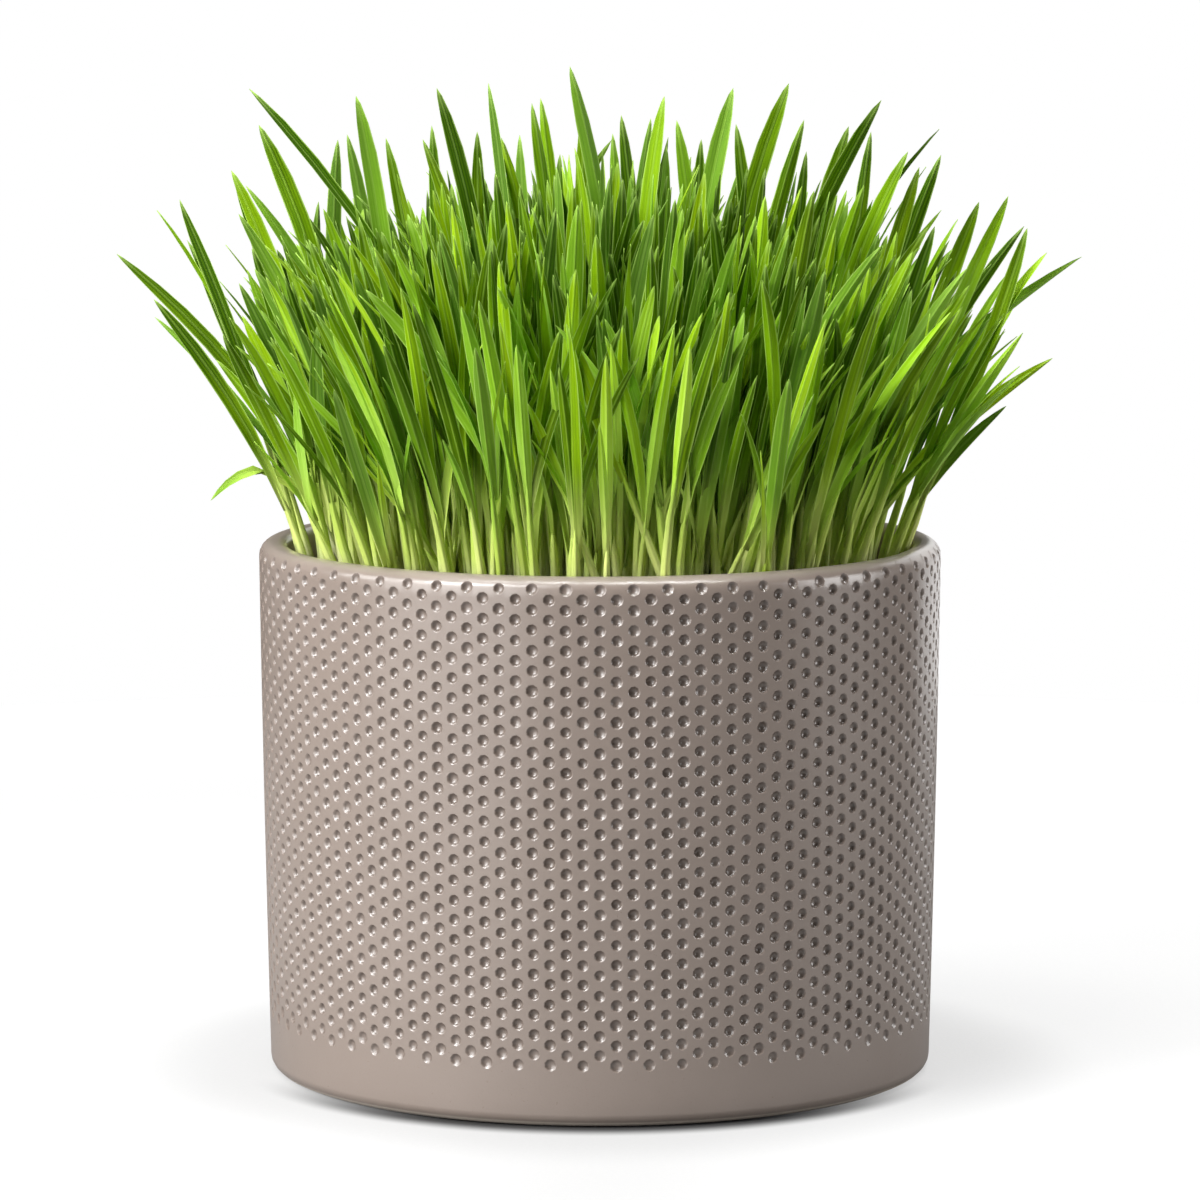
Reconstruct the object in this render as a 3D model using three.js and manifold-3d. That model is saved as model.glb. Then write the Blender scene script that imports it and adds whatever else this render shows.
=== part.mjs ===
// Potted cat grass: a ceramic pot, the potting mix in it, and tufts of cereal seedlings that fan out
// over its rim. Millimetres, +Z up. The origin is the middle of the pot's foot, on the surface that
// the pot stands on.
import * as THREE from "three";
import { mergeVertices } from "three/addons/utils/BufferGeometryUtils.js";
import Module from "manifold-3d";

const wasm = await Module();
wasm.setup();

// Pot: a round, nearly straight wall that widens a little upwards and ends in a rounded lip.
const rimRadius = 80;
const footRadius = 77.8;
const potHeight = 124.5;
const wallBow = 0.2; // how far the wall stands out of a straight taper, half-way up
const wallSteps = 5;
const footFillet = 3;
const lipWidth = 6.65;
const lipOuterFillet = 3.3;
const lipInnerFillet = 1.8;
const innerFootRadius = 71.6;
const innerFootFillet = 7;
const floorThickness = 7;
const roundSteps = 64;

// Potting mix: fills the pot up to a little below the rim.
const soilBelowRim = 15;
const touchGap = 0.3; // between pieces that rest on each other

// Root mat: a low cake of sprouted grains and roots under each tuft.
const matRadius = 6.8;
const matTopRadius = 6.2;
const matHeight = 2.6;
const matSides = 9;

// Tufts: [how many, radius of the ring that they stand on]. The outermost ring is turned by half a
// step, which leaves open soil for watering in front, behind and on both sides.
const tuftRings = [
  [1, 0],
  [6, 15.3],
  [12, 30.6],
  [16, 46],
  [20, 61.5],
];
const leavesPerTuft = 5;
const leafCircle = 4.2; // radius of the circle of leaves in a tuft
const randomSeed = 27;

// Leaves: the stand is a dome, tallest in the middle, and its leaves lean out towards the edge.
const standRadius = 66;
const middleHeight = 114;
const edgeDrop = 0.27; // share of the height that is lost at the edge
const heightSpread = 0.09;
const middleReach = 5; // how far a tip stands out from its root, in the middle of the stand
const edgeReach = 32; // and at its edge
const reachGrowth = 1.4; // the power of the distance from the middle that the lean grows with
const reachSpread = 0.28;
const middleHeadingSpread = 0.57; // radians to either side of straight outwards, in the middle
const edgeHeadingSpread = 0.07; // and at the edge
const mostDroop = 0.12;
const widestTip = 105; // no common leaf ends further out than this
const leafClearance = 0.35; // between any two leaves
const leafTries = 60; // leaves drawn for one root before it is left bare
const lookSteps = 28; // places along a leaf where its clearance is tested
const lookDistance = 70; // leaves whose roots stand further apart than this can't meet
const tangentStep = 0.02; // share of a leaf's length over which its direction is taken

// A leaf's sections, from its root to the last one below the tip: the share of its length, half its
// width, half its thickness, and how far its edges stand above its midrib.
const leafSections = [
  { at: 0, halfWidth: 1, halfThickness: 1, crease: 0 },
  { at: 0.3, halfWidth: 1.1, halfThickness: 0.9, crease: 0 },
  { at: 0.6, halfWidth: 2.15, halfThickness: 0.3, crease: 0.8 },
  { at: 0.85, halfWidth: 1.5, halfThickness: 0.25, crease: 0.6 },
];

// Where the tips of the leaves that reach furthest end: up, to both sides, to the back and the front.
const farTips = {
  grass_tuft_ring1_01: [-6.7, 0, 235],
  grass_tuft_ring5_01: [113, 8, 190],
  grass_tuft_ring5_10: [-113, 8, 190],
  grass_tuft_ring5_05: [6, 108, 193],
  grass_tuft_ring5_16: [6, -108, 193],
};

const potGlaze = new THREE.MeshStandardMaterial({ color: 0x958679, roughness: 0.45, metalness: 0 });
const pottingMix = new THREE.MeshStandardMaterial({ color: 0x2e2318, roughness: 0.95, metalness: 0 });
const leafGreen = new THREE.MeshStandardMaterial({ color: 0x6fa42c, roughness: 0.5, metalness: 0 });

const soilTop = potHeight - soilBelowRim;
const matBottom = soilTop + touchGap;
const rootHeight = matBottom + matHeight / 2;
const innerRimRadius = rimRadius - lipWidth;

/** Points of an arc about (x, y), from one angle to another in degrees. */
function arc(x, y, radius, from, to, steps) {
  return Array.from({ length: steps + 1 }, (_, i) => {
    const angle = THREE.MathUtils.degToRad(from + ((to - from) * i) / steps);
    return new THREE.Vector2(x + radius * Math.cos(angle), y + radius * Math.sin(angle));
  });
}

/** Turns a profile of radius and height about the Z axis. */
function turned(profile, steps) {
  return new THREE.LatheGeometry(profile, steps).rotateX(Math.PI / 2);
}

/** The pot's outer radius at a height. */
function wallRadius(height) {
  const share = height / potHeight;
  return footRadius + (rimRadius - footRadius) * share + 4 * wallBow * share * (1 - share);
}

/** The pot's inner radius at a height. */
function innerRadius(height) {
  return THREE.MathUtils.mapLinear(height, floorThickness, potHeight, innerFootRadius, innerRimRadius);
}

function potGeometry() {
  const wallFrom = footFillet;
  const wallTo = potHeight - lipOuterFillet;
  const wall = Array.from({ length: wallSteps - 1 }, (_, i) => {
    const height = THREE.MathUtils.lerp(wallFrom, wallTo, (i + 1) / wallSteps);
    return new THREE.Vector2(wallRadius(height), height);
  });
  return turned(
    [
      new THREE.Vector2(0, 0),
      ...arc(wallRadius(footFillet) - footFillet, footFillet, footFillet, -90, 0, 4),
      ...wall,
      ...arc(wallRadius(wallTo) - lipOuterFillet, wallTo, lipOuterFillet, 0, 90, 4),
      ...arc(innerRimRadius + lipInnerFillet, potHeight - lipInnerFillet, lipInnerFillet, 90, 180, 3),
      ...arc(
        innerFootRadius - innerFootFillet,
        floorThickness + innerFootFillet,
        innerFootFillet,
        0,
        -90,
        3,
      ),
      new THREE.Vector2(0, floorThickness),
    ],
    roundSteps,
  );
}

function soilGeometry() {
  const bottom = floorThickness + touchGap;
  const footRadiusInside = innerFootRadius - touchGap;
  return turned(
    [
      new THREE.Vector2(0, bottom),
      ...arc(footRadiusInside - innerFootFillet, bottom + innerFootFillet, innerFootFillet, -90, 0, 3),
      new THREE.Vector2(innerRadius(soilTop) - touchGap, soilTop),
      new THREE.Vector2(0, soilTop),
    ],
    roundSteps,
  );
}

function matGeometry() {
  return turned(
    [
      new THREE.Vector2(0, 0),
      new THREE.Vector2(matRadius, 0),
      new THREE.Vector2(matTopRadius, matHeight),
      new THREE.Vector2(0, matHeight),
    ],
    matSides,
  );
}

/** Repeatable random numbers from 0 to 1. */
function randomNumbers(seed) {
  let state = seed;
  return () => {
    state = (state + 0x6d2b79f5) | 0;
    let mixed = Math.imul(state ^ (state >>> 15), state | 1);
    mixed ^= mixed + Math.imul(mixed ^ (mixed >>> 7), mixed | 61);
    return ((mixed ^ (mixed >>> 14)) >>> 0) / 2 ** 32;
  };
}

const random = randomNumbers(randomSeed);
const between = (low, high) => low + (high - low) * random();

/**
 * The point on a leaf's middle line at a share of its length. It leaves its root steeply and bends
 * outwards: the way out is half the share plus half its square, and the height is the share, raised
 * in between by the droop.
 */
function leafPoint(leaf, share) {
  const out = 0.5 * share + 0.5 * share ** 2;
  const rise = share + leaf.droop * share * (1 - share);
  return new THREE.Vector3(
    THREE.MathUtils.lerp(leaf.root.x, leaf.tip.x, out),
    THREE.MathUtils.lerp(leaf.root.y, leaf.tip.y, out),
    THREE.MathUtils.lerp(leaf.root.z, leaf.tip.z, rise),
  );
}

/** Half the width of a leaf at a share of its length, between its sections. */
function leafHalfWidth(share) {
  const above = leafSections.findIndex((section) => section.at >= share);
  if (above === -1) return leafSections.at(-1).halfWidth;
  if (above === 0) return leafSections[0].halfWidth;
  const [low, high] = [leafSections[above - 1], leafSections[above]];
  return THREE.MathUtils.mapLinear(share, low.at, high.at, low.halfWidth, high.halfWidth);
}

/** Points along a leaf, each with the room that the leaf takes there. */
function placesAlong(leaf) {
  return Array.from({ length: lookSteps }, (_, i) => {
    const share = (i + 1) / lookSteps;
    return { point: leafPoint(leaf, share), room: leafHalfWidth(share) };
  });
}

/** Whether two leaves are too close together anywhere. */
function meet(leaf, other) {
  if (leaf.root.distanceTo(other.root) > lookDistance) return false;
  return leaf.places.some((ours) =>
    other.places.some((theirs) => {
      const least = ours.room + theirs.room + leafClearance;
      return ours.point.distanceToSquared(theirs.point) < least ** 2;
    }),
  );
}

/** A leaf that a root at this place grows by itself, with some chance in its lean and height. */
function commonLeaf(root) {
  const { lerp } = THREE.MathUtils;
  const place = Math.hypot(root.x, root.y) / standRadius;
  const turn = between(-1, 1) * lerp(middleHeadingSpread, edgeHeadingSpread, place);
  const heading = Math.atan2(root.y, root.x) + turn;
  const reach = lerp(middleReach, edgeReach, place ** reachGrowth) * (1 + between(-1, 1) * reachSpread);
  const height = middleHeight * (1 - edgeDrop * place ** 2) * (1 + between(-1, 1) * heightSpread);
  const tip = new THREE.Vector3(
    root.x + reach * Math.cos(heading),
    root.y + reach * Math.sin(heading),
    root.z + height,
  );
  return { root, tip, droop: between(0, mostDroop), facing: between(0, Math.PI) };
}

/**
 * A leaf's closed skin: rings of four corners (two edges, the midrib's upper and lower side) square
 * to the middle line, a flat root end and a pointed tip.
 */
function leafSolid(leaf) {
  const corners = [];
  for (const section of leafSections) {
    const here = leafPoint(leaf, section.at);
    const along = leafPoint(leaf, section.at + tangentStep).sub(here).normalize();
    const side = new THREE.Vector3(Math.cos(leaf.facing), Math.sin(leaf.facing), 0);
    side.addScaledVector(along, -side.dot(along)).normalize();
    const face = new THREE.Vector3().crossVectors(along, side);
    for (const [across, raised] of [
      [-section.halfWidth, section.crease],
      [0, -section.halfThickness],
      [section.halfWidth, section.crease],
      [0, section.halfThickness],
    ]) {
      corners.push(here.clone().addScaledVector(side, across).addScaledVector(face, raised));
    }
  }
  const tipIndex = corners.push(leaf.tip.clone()) - 1;
  const triangles = [0, 2, 1, 0, 3, 2];
  for (let ring = 0; ring < leafSections.length; ring += 1) {
    for (let corner = 0; corner < 4; corner += 1) {
      const a = ring * 4 + corner;
      const b = ring * 4 + ((corner + 1) % 4);
      if (ring === leafSections.length - 1) triangles.push(a, b, tipIndex);
      else triangles.push(a, b, b + 4, a, b + 4, a + 4);
    }
  }
  return new wasm.Manifold(
    new wasm.Mesh({
      numProp: 3,
      vertProperties: new Float32Array(corners.flatMap((corner) => corner.toArray())),
      triVerts: new Uint32Array(triangles),
    }),
  );
}

/** A closed three.js geometry as a manifold solid. */
function solidOf(geometry) {
  geometry.deleteAttribute("normal");
  geometry.deleteAttribute("uv");
  const merged = mergeVertices(geometry, 1e-4);
  return new wasm.Manifold(
    new wasm.Mesh({
      numProp: 3,
      vertProperties: new Float32Array(merged.attributes.position.array),
      triVerts: new Uint32Array(merged.index.array),
    }),
  );
}

/** A manifold solid as a three.js geometry. */
function geometryOf(solid) {
  const mesh = solid.getMesh();
  const geometry = new THREE.BufferGeometry();
  geometry.setAttribute("position", new THREE.BufferAttribute(mesh.vertProperties, 3));
  geometry.setIndex(new THREE.BufferAttribute(mesh.triVerts, 1));
  geometry.computeVertexNormals();
  return geometry;
}

/** Plants the leaves of one tuft, each clear of every leaf that is already planted. */
function plantTuft({ centre, angle, farTip }, planted) {
  const leaves = [];
  for (let i = 0; i < leavesPerTuft; i += 1) {
    const around = angle + (2 * Math.PI * i) / leavesPerTuft;
    const root = new THREE.Vector3(Math.cos(around), Math.sin(around), 0)
      .multiplyScalar(leafCircle)
      .add(centre);
    for (let attempt = 0; attempt < leafTries; attempt += 1) {
      const leaf = commonLeaf(root);
      if (farTip && i === 0) leaf.tip.fromArray(farTip);
      else if (Math.hypot(leaf.tip.x, leaf.tip.y) > widestTip) continue;
      leaf.places = placesAlong(leaf);
      if (planted.some((other) => meet(leaf, other))) continue;
      leaves.push(leaf);
      planted.push(leaf);
      break;
    }
  }
  return leaves;
}

/** One tuft: its root mat and leaves joined in one solid. */
function tuftGeometry(tuft, planted) {
  let solid = solidOf(matGeometry().translate(tuft.centre.x, tuft.centre.y, matBottom));
  for (const leaf of plantTuft(tuft, planted)) solid = solid.add(leafSolid(leaf));
  return geometryOf(solid);
}

/** Every tuft's name and place. Those with a far leaf come first, so that it finds its way free. */
function tuftPlaces() {
  const places = tuftRings.flatMap(([count, radius], ring) =>
    Array.from({ length: count }, (_, i) => {
      const halfStep = ring === tuftRings.length - 1 ? 0.5 : 0;
      const angle = (2 * Math.PI * (i + halfStep)) / count;
      const centre = new THREE.Vector3(radius * Math.cos(angle), radius * Math.sin(angle), rootHeight);
      const name = `grass_tuft_ring${ring + 1}_${String(i + 1).padStart(2, "0")}`;
      return { name, angle, centre, farTip: farTips[name] };
    }),
  );
  return [...places.filter((place) => place.farTip), ...places.filter((place) => !place.farTip)];
}

function named(name, geometry, material) {
  const mesh = new THREE.Mesh(geometry, material);
  mesh.name = name;
  return mesh;
}

const group = new THREE.Group();
group.add(named("pot", potGeometry(), potGlaze));
group.add(named("potting_mix", soilGeometry(), pottingMix));
const planted = [];
for (const tuft of tuftPlaces()) {
  group.add(named(tuft.name, tuftGeometry(tuft, planted), leafGreen));
}

export default group;
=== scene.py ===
"""Cat grass in a dimpled taupe pot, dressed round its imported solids.

Shapes are worked out with numpy in millimetres, Z up, with the middle of the pot's foot at the origin. They
become metres when they go into a mesh. The grass is a stand of seedlings. Each has a pale stem, a main leaf
that grows on from it and up to two side leaves, and all of it follows one bowed line from foot to tip.
"""
import math

import bpy
import numpy as np
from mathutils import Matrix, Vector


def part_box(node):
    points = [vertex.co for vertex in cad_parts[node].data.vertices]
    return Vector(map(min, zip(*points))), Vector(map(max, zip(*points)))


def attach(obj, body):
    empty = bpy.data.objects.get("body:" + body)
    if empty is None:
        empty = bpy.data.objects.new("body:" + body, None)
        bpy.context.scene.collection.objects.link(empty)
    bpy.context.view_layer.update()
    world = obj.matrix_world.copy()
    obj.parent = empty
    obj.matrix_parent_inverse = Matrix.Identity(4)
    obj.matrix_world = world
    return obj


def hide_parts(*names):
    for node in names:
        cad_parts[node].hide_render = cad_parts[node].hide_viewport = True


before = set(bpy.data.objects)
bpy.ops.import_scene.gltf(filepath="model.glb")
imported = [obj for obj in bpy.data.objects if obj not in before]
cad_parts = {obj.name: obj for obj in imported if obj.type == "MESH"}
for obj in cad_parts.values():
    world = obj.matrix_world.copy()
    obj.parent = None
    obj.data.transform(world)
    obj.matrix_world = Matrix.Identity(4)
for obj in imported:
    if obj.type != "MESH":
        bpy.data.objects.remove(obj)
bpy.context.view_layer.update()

MM = 0.001
TURN = 2 * math.pi

# The pot. The solids give its rim and height, and the rest repeats their source.
pot_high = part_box("pot")[1]
rim_radius = pot_high[0] / MM
pot_height = pot_high[2] / MM
foot_radius = 77.8
wall_bow = 0.2
foot_fillet = 3.0
lip_width = 6.65
lip_outer_fillet = 3.3
lip_inner_fillet = 1.8
inner_foot_radius = 71.6
inner_foot_fillet = 7.0
floor_thickness = 7.0
inner_rim_radius = rim_radius - lip_width

# Its dimples stand in upright columns, and every second column is half a pitch higher.
dimple_columns = 132
dimple_rows = 24
dimple_pitch = 4.58
lowest_dimple = 14.3
dimple_radius = 1.40
dimple_depth = 0.86
lowest_rows_depth = [0.72, 0.9]  # shares of the depth that the two lowest rows have
radius_spread = 0.035  # how much the dimples differ, as a share of their radius
depth_spread = 0.08  # and as a share of their depth
place_spread = 0.05
# Rings of a dimple: share of the radius, share of the depth, lean of the normal in degrees, corners, and
# how much darker the glaze is there, partly from pooling glaze and partly as painted shade.
mouth_ring = (1.04, 0.0, 0, 9, 0.0)
shoulder_ring = (0.80, 0.64, 48, 9, 0.64)
bottom_ring = (0.5, 1.0, 28, 6, 0.3)
mouth_inner_lean = 30  # lean of the normal just inside the sharp mouth

# The potting mix.
soil_low, soil_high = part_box("potting_mix")
soil_top = soil_high[2] / MM
soil_radius = soil_high[0] / MM
crumb_count = 900
crumb_size = (0.5, 1.5)
perlite_share = 0.16

# The stand of grass.
tuft_rings = [(1, 0.0), (6, 15.3), (12, 30.6), (16, 46.0), (20, 61.5)]  # count and radius of each ring
stand_radius = 67.0
seedling_spacing = 4.7
row_spacing = 0.866  # of the honeycomb of feet, as a share of the spacing in a row
seedling_jitter = 1.7
closest_feet = 2.4
middle_height = 114.0
edge_drop = 0.27  # share of the height that is lost at the edge of the stand
height_range = (0.76, 0.95)
middle_reach = 5.0  # how far tips lean out from their feet
edge_reach = 30.0
reach_growth = 1.4  # power of the distance with which the reach grows
reach_range = (0.55, 1.15)
heading_spread = 0.5  # radians by which leaves in the middle lean off the way straight out
heading_settling = 0.36  # how much of that is lost at the edge
common_bow = -0.15  # share of its lean by which a leaf's middle is pushed back
bow_spread = 1.6
widest_tip = 104.0
half_width_range = (1.35, 2.1)
facing_spread = 0.65  # radians by which blades are turned off facing outwards
twist_spread = 0.8  # radians by which a blade turns from base to tip
stem_heights = (17.0, 42.0)  # lowest and highest place over the potting mix where a main leaf opens
stem_radii = (0.8, 1.15)
arched_stem_share = 0.2  # where a leaf that arches over opens, as a share of its line
stem_overlap = 0.07  # shares of the line by which the stem ends above that place
blade_overlap = 0.03  # and the blade starts below it
opening_length = 46.0
pointed_length = 20.0
leaf_thickness = 0.30
folds = (0.10, 0.50)  # how far the edges of an open blade are folded up, as a part of its half-width
thinnest_tip = 0.015  # share of the half-width that is left at the very tip
outwards_with_distance = 1.22  # how much further from the middle a listed tip stands than its foot, in y
backward_bow = -0.14  # share of that way by which a listed leaf's middle is pushed back
set_width_share = 0.95  # share of its given half-width that a listed leaf has
set_facing_spread = 0.45
set_twist_spread = 0.4
# Side leaves: lowest and highest share of the stem where they leave it, share of the seedlings with one.
side_leaf_kinds = [(0.75, 0.97, 0.95), (0.5, 0.75, 0.4)]
side_heading_spread = 1.3
side_lean = (0.14, 0.46)  # radians from upright
side_height = (0.62, 1.0)  # share of the main leaf's height over the place where the side leaf starts
short_side_leaves = 0.08  # share of the side leaves that end early
short_side_height = (0.3, 0.6)
side_drift = 0.6  # share of the main leaf's lean that its side leaves have too
side_width = (0.75, 1.0)
side_backward_bow = -0.2

# The sown grains and their roots.
grain_offset = 1.6  # from the seedling's foot
grain_slope = 0.35  # steepest lie, in radians
grain_half_length = (2.6, 3.4)
grain_half_width = (1.15, 1.45)
grain_half_height = (1.0, 1.25)
roots_per_grain = 2
root_length = (4, 9)


# ---- Node trees ----


class Amount:
    """A number that varies over a surface, held as a node's output. Arithmetic on it adds Math nodes."""

    def __init__(self, nodes, socket):
        self.nodes = nodes
        self.socket = socket

    def maths(self, operation, *terms):
        return self.nodes.add("ShaderNodeMath", {"operation": operation}, dict(enumerate(terms)))

    def __add__(self, other):
        return self.maths("ADD", self, other)

    def __radd__(self, other):
        return self.maths("ADD", other, self)

    def __sub__(self, other):
        return self.maths("SUBTRACT", self, other)

    def __rsub__(self, other):
        return self.maths("SUBTRACT", other, self)

    def __mul__(self, other):
        return self.maths("MULTIPLY", self, other)

    def __rmul__(self, other):
        return self.maths("MULTIPLY", other, self)

    def wave(self):
        """Its cosine, between 0 and 1."""
        return self.maths("COSINE", self) * 0.5 + 0.5

    def size(self):
        """Its distance from 0."""
        return self.maths("ABSOLUTE", self)

    def rise(self, low, high):
        """0 up to low and 1 from high, with a smooth step between."""
        inputs = {0: self, 1: low, 2: high, 3: 0.0, 4: 1.0}
        return self.nodes.add("ShaderNodeMapRange", {"interpolation_type": "SMOOTHSTEP"}, inputs)


class Nodes:
    """A node tree, filled in by calls that each add one node."""

    def __init__(self, tree, material=None):
        self.tree = tree
        self.material = material
        tree.nodes.clear()

    def add(self, kind, settings, inputs, output=0):
        """Adds a node, sets its settings, sets or links its sockets, and returns one of its outputs."""
        node = self.tree.nodes.new(kind)
        for name, value in (settings or {}).items():
            setattr(node, name, value)
        for name, value in (inputs or {}).items():
            if isinstance(value, Amount):
                self.tree.links.new(value.socket, node.inputs[name])
            else:
                node.inputs[name].default_value = value
        return Amount(self, node.outputs[output]) if node.outputs else node

    def mix(self, share, first, second):
        """The first colour where share is 0, and the second where it is 1."""
        inputs = {0: share, 6: first, 7: second}
        return self.add("ShaderNodeMix", {"data_type": "RGBA"}, inputs, output=2)

    def noise(self, place, scale, detail, roughness=0.5):
        inputs = {"Vector": place, "Scale": scale, "Detail": detail, "Roughness": roughness}
        return self.add("ShaderNodeTexNoise", None, inputs)

    def split(self, vector):
        """The three numbers of a vector."""
        node = self.tree.nodes.new("ShaderNodeSeparateXYZ")
        self.tree.links.new(vector.socket, node.inputs[0])
        return [Amount(self, output) for output in node.outputs]

    def joined(self, x, y, z):
        return self.add("ShaderNodeCombineXYZ", None, {0: x, 1: y, 2: z})

    def place(self):
        """The point's own place, in metres."""
        return self.add("ShaderNodeTexCoord", None, None, output="Object")

    def attribute(self, name, output):
        return self.add("ShaderNodeAttribute", {"attribute_name": name}, None, output=output)

    def bump(self, height, distance, strength):
        inputs = {"Height": height, "Distance": distance, "Strength": strength}
        return self.add("ShaderNodeBump", None, inputs, output="Normal")

    def coat(self, colour, roughness, normal, others=None):
        """A Principled shader. others holds its other sockets, by name."""
        inputs = {"Base Color": colour, "Roughness": roughness, "Normal": normal, **(others or {})}
        return self.add("ShaderNodeBsdfPrincipled", None, inputs)

    def finish(self, shader):
        self.add("ShaderNodeOutputMaterial", None, {0: shader})
        return self.material


def new_material(name):
    material = bpy.data.materials.new(name)
    material.use_nodes = True
    return Nodes(material.node_tree, material)


# ---- Meshes ----


def add_piece(
    name, points, faces, material, stands_for=(), normals=None, numbers=None, crease=None, ridges=None
):
    """Makes a mesh of points in millimetres and faces as lists of corner numbers, riding on the root.

    normals gives one direction to a face corner, and numbers the named attributes of the points. crease is
    the angle in degrees from which two faces meet in a sharp edge. An edge is sharp too where both its
    points have the same number above 0 in ridges.
    """
    mesh = bpy.data.meshes.new(name)
    mesh.from_pydata((points * MM).tolist(), [], faces)
    mesh.shade_smooth()
    if crease:
        mesh.set_sharp_from_angle(angle=math.radians(crease))
    if ridges is not None:
        ends = np.empty(2 * len(mesh.edges), dtype=np.int32)
        mesh.edges.foreach_get("vertices", ends)
        ends = ridges[ends.reshape(-1, 2)]
        sharp = mesh.attributes.get("sharp_edge") or mesh.attributes.new("sharp_edge", "BOOLEAN", "EDGE")
        sharp.data.foreach_set("value", (ends[:, 0] == ends[:, 1]) & (ends[:, 0] > 0))
    if normals is not None:
        mesh.normals_split_custom_set(normals.tolist())
    for label, values in (numbers or {}).items():
        kind = "FLOAT_VECTOR" if values.ndim == 2 else "FLOAT"
        field = "vector" if values.ndim == 2 else "value"
        layer = mesh.attributes.new(label, kind, "POINT")
        layer.data.foreach_set(field, values.astype(np.float32).ravel())
    mesh.materials.append(material)
    piece = bpy.data.objects.new(name, mesh)
    bpy.context.collection.objects.link(piece)
    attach(piece, "root")
    if stands_for:
        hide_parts(*stands_for)


def unit(vectors):
    return vectors / np.linalg.norm(vectors, axis=-1, keepdims=True)


def together(*values):
    """Arrays that are stretched to one shape and joined along a new last axis."""
    return np.stack(np.broadcast_arrays(*values), axis=-1)


def level_way(angle):
    """The level direction at an angle from +X."""
    return together(np.cos(angle), np.sin(angle), 0.0)


def turned_way(angle):
    """The level direction a quarter turn on from the one at an angle from +X."""
    return together(-np.sin(angle), np.cos(angle), 0.0)


def keep_within(points, radius):
    """Moves points that are further than a radius from the upright axis in to it."""
    apart = np.hypot(points[:, 0], points[:, 1])
    points[:, :2] *= np.minimum(1, radius / apart)[:, None]


def tube_faces(count, stations, sides):
    """Faces of count closed tubes, each with a ring of points at every station and a cap at both ends."""
    ring = np.arange(sides)
    after = (ring + 1) % sides
    row = np.arange(stations - 1)[:, None] * sides
    quads = together(row + ring, row + after, row + sides + after, row + sides + ring).reshape(-1, 4)
    start = (np.arange(count) * stations * sides)[:, None, None]
    last = (stations - 1) * sides
    caps = np.stack([ring[::-1], last + ring])
    return (quads + start).reshape(-1, 4).tolist() + (caps + start).reshape(-1, sides).tolist()


def rings_round(middle, across, along, half_width, half_height, sides):
    """Rings round a line: middle + half_width cos(a) across + half_height sin(a) (along x across)."""
    raised = np.cross(along, across)
    angle = TURN * np.arange(sides) / sides
    sideways = half_width[..., None, None] * np.cos(angle)[:, None] * across[..., None, :]
    upwards = half_height[..., None, None] * np.sin(angle)[:, None] * raised[..., None, :]
    return middle[..., None, :] + sideways + upwards


def pebbles(places, headings, slopes, half_lengths, half_widths, half_heights, stations=6, sides=7):
    """Closed grains: the ring at cos(t) of a half-length has sin(t) of the half-width and half-height."""
    end_turn = 0.06
    turn = np.linspace(end_turn, math.pi - end_turn, stations)
    along = level_way(headings) * np.cos(slopes)[:, None] + np.array([0, 0, 1.0]) * np.sin(slopes)[:, None]
    across = turned_way(headings)
    middle = places[:, None, :] - (np.cos(turn) * half_lengths[:, None])[..., None] * along[:, None, :]
    along = np.broadcast_to(along[:, None, :], middle.shape)
    across = np.broadcast_to(across[:, None, :], middle.shape)
    swell = np.sin(turn)
    return rings_round(
        middle, across, along, swell * half_widths[:, None], swell * half_heights[:, None], sides
    )


# ---- Room ----

# Soft panels: name, degrees to the right of the camera, degrees up, distance, width and height in metres,
# and watts.
softboxes = [
    ("left", -86, 26, 1.15, 0.50, 0.40, 3.4),
    ("key", -56, 36, 1.15, 0.42, 0.42, 8.0),
    ("front key", -36, 42, 1.15, 0.40, 0.40, 4.5),
    ("low key", -62, 9, 1.15, 0.60, 0.60, 4.3),
    ("low front", -36, 9, 1.15, 0.50, 0.60, 3.6),
    ("right", 86, 12, 1.20, 0.70, 0.60, 6.3),
    ("rim", 152, 12, 1.20, 0.80, 1.10, 4.4),
    ("top", 0, 80, 1.20, 1.10, 0.30, 15.5),
    ("top back", 180, 62, 1.20, 1.10, 0.30, 5.0),
]
aim_height = 0.12


def add_camera():
    lens = bpy.data.cameras.new("camera")
    lens.lens = 180
    camera = bpy.data.objects.new("camera", lens)
    camera.location = (0, -1.4, 0.2814)
    camera.rotation_euler = (math.radians(83.02), 0, 0)
    bpy.context.collection.objects.link(camera)
    bpy.context.scene.camera = camera


def add_softbox(name, side, rise, distance, width, height, power):
    """A soft panel that faces a point at aim_height over the middle of the pot's foot."""
    light = bpy.data.lights.new(name, "AREA")
    light.shape = "RECTANGLE"
    light.size = width
    light.size_y = height
    light.energy = power
    panel = bpy.data.objects.new(name, light)
    side = math.radians(side)
    rise = math.radians(rise)
    out = (math.sin(side) * math.cos(rise), -math.cos(side) * math.cos(rise), math.sin(rise))
    panel.location = (distance * out[0], distance * out[1], aim_height + distance * out[2])
    panel.rotation_euler = (math.pi / 2 - rise, 0, side)
    bpy.context.collection.objects.link(panel)


def light_room():
    """A dim white room with the soft panels in it. Only the camera sees the backdrop at full white."""
    world = bpy.data.worlds.new("white room")
    world.use_nodes = True
    bpy.context.scene.world = world
    nodes = Nodes(world.node_tree)
    white = (1, 1, 1, 1)
    walls = nodes.add("ShaderNodeBackground", None, {"Color": white, "Strength": 0.03})
    backdrop = nodes.add("ShaderNodeBackground", None, {"Color": white, "Strength": 1.0})
    seen = nodes.add("ShaderNodeLightPath", None, None, output="Is Camera Ray")
    room = nodes.add("ShaderNodeMixShader", None, {0: seen, 1: walls, 2: backdrop})
    nodes.add("ShaderNodeOutputWorld", None, {0: room})
    for softbox in softboxes:
        add_softbox(*softbox)


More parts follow.
